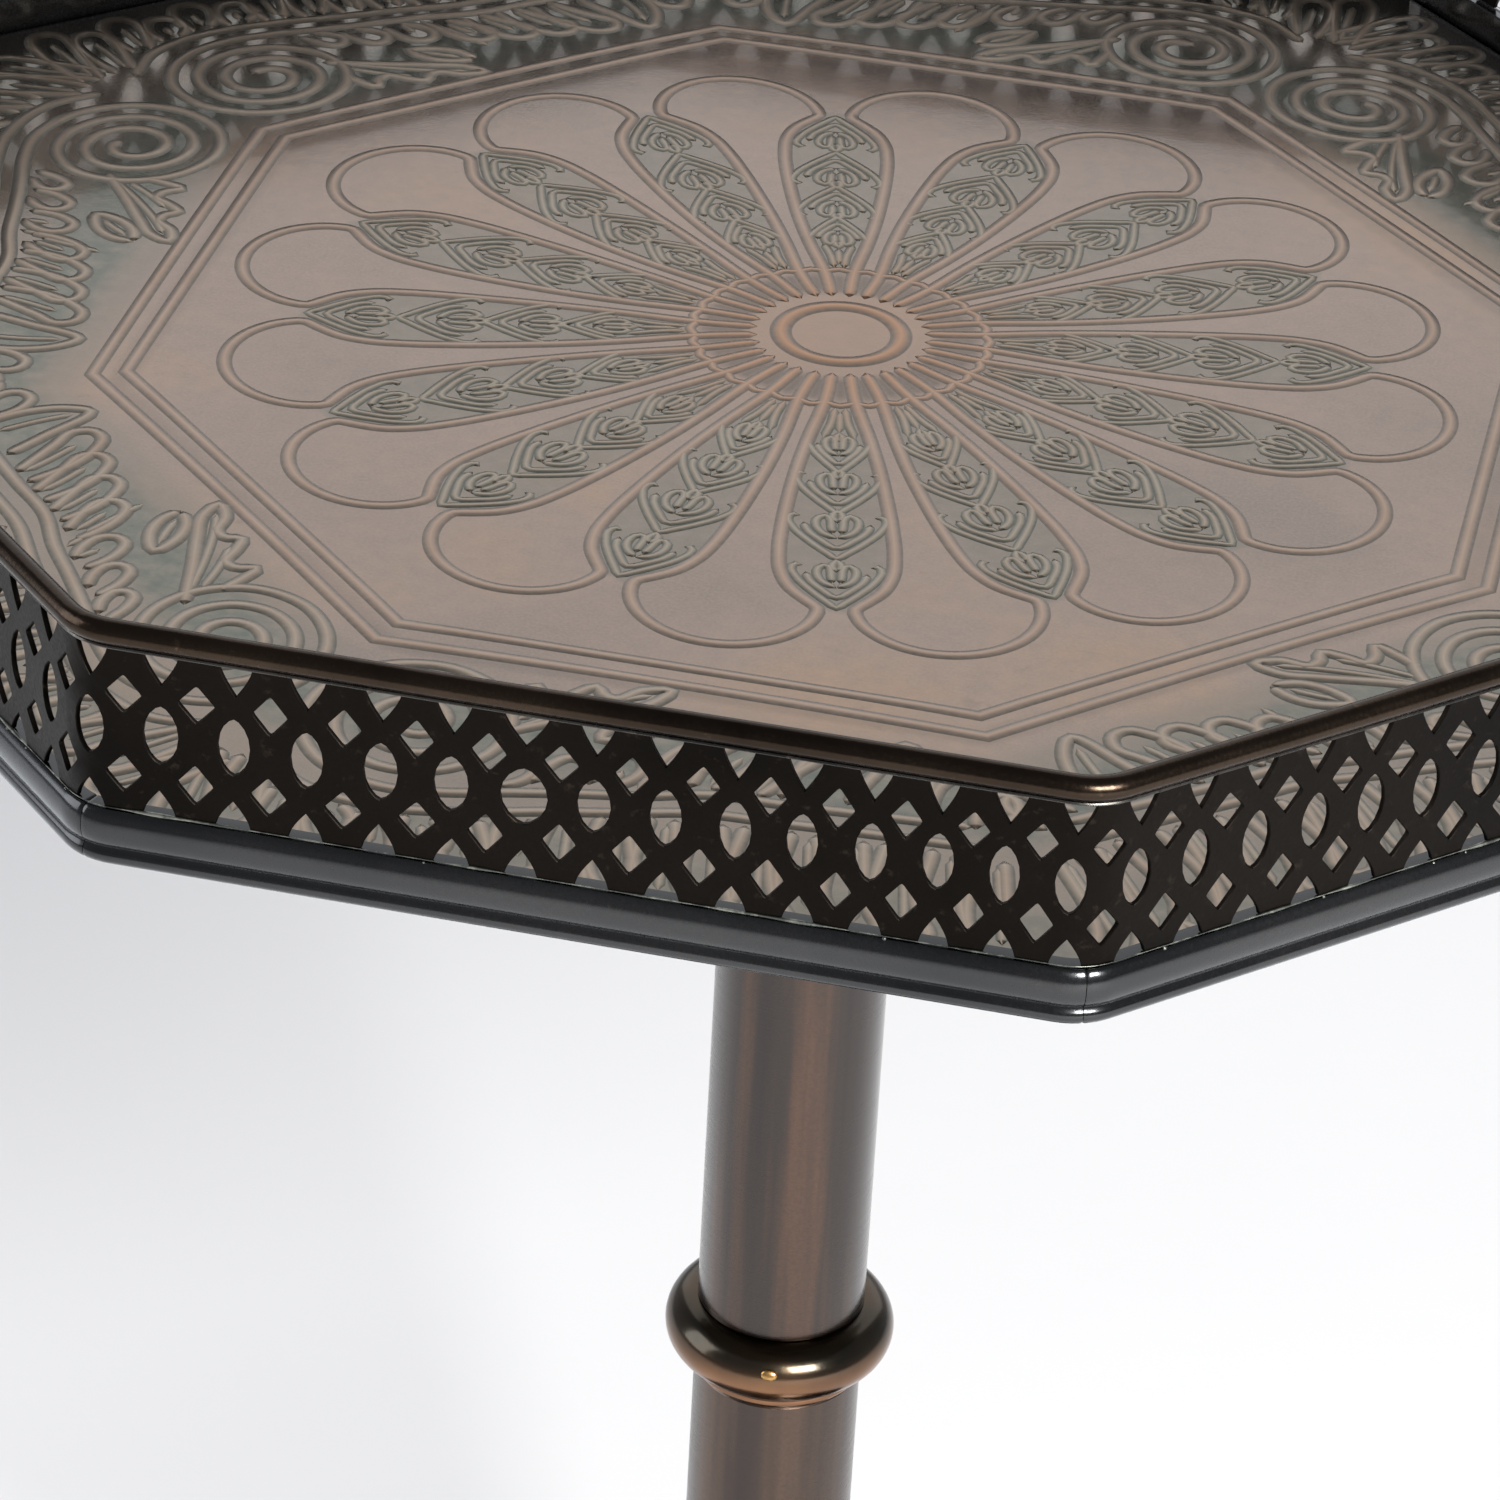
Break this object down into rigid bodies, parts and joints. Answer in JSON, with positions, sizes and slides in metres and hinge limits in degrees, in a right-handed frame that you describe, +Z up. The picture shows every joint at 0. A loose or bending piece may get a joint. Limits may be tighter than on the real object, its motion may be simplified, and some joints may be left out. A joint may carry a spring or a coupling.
{
  "type": "tray table",
  "caption": "Octagonal tray table: embossed metal tray with a pierced gallery rail, screwed onto a round column with a ring collar and a weighted octagonal base.",
  "frame": {"origin": "centre of the base's underside, on the surface that the table stands on", "axes": "+Z up along the column; X and Y square to opposite sides of the octagonal tray and base"},
  "size_m": [0.409, 0.409, 0.5426],
  "materials": {
    "tray_floor_bronze": "embossed sheet with taupe-copper patina and verdigris in the recesses",
    "gallery_bronze": "near-black brown patina on pierced sheet",
    "moulding_bronze": "polished dark bronze patina",
    "column_bronze": "satin lacquered dark brown bronze",
    "collar_bronze": "rubbed copper bronze",
    "steel": "zinc plated",
    "iron": "rough casting",
    "fibre": "red fibre",
    "felt": "dark green felt"
  },
  "bodies": {
    "pedestal": {"column_cap": "collar_bronze", "ring_collar": "collar_bronze", "foot_collar": "collar_bronze", "upper_tube": "column_bronze", "lower_tube": "column_bronze", "base_shell": "column_bronze", "base_felt": "felt", "base_weight": "iron", "cap_nut": "steel", "tie_rod": "steel", "rod_spacer": "steel", "rod_washer": "steel", "rod_nut": "steel", "bottom_plate": "steel", "base_screw_1": "steel", "base_screw_2": "steel", "base_screw_3": "steel", "base_screw_4": "steel"},
    "seat": {"seat_washer": "fibre"},
    "tray": {"tray_floor": "tray_floor_bronze", "top_rail": "moulding_bronze", "tray_flange": "collar_bronze", "rim_moulding_1": "moulding_bronze", "rim_moulding_2": "moulding_bronze", "rim_moulding_3": "moulding_bronze", "rim_moulding_4": "moulding_bronze", "rim_moulding_5": "moulding_bronze", "rim_moulding_6": "moulding_bronze", "rim_moulding_7": "moulding_bronze", "rim_moulding_8": "moulding_bronze", "gallery_panel_1": "gallery_bronze", "gallery_panel_2": "gallery_bronze", "gallery_panel_3": "gallery_bronze", "gallery_panel_4": "gallery_bronze", "gallery_panel_5": "gallery_bronze", "gallery_panel_6": "gallery_bronze", "gallery_panel_7": "gallery_bronze", "gallery_panel_8": "gallery_bronze"}
  },
  "joints": [
    {"name": "tray_lift", "type": "slide", "parent": "pedestal", "child": "seat", "axis": [0, 0, 1], "range_m": [0, 0.00875]},
    {"name": "tray_turn", "type": "hinge", "parent": "seat", "child": "tray", "pos_m": [0, 0, 0.49], "axis": [0, 0, 1], "range_deg": [0, 2100]}
  ],
  "couplings": [
    {"joint": "tray_lift", "follows": "tray_turn", "m_per_rad": 0.00023873}
  ]
}
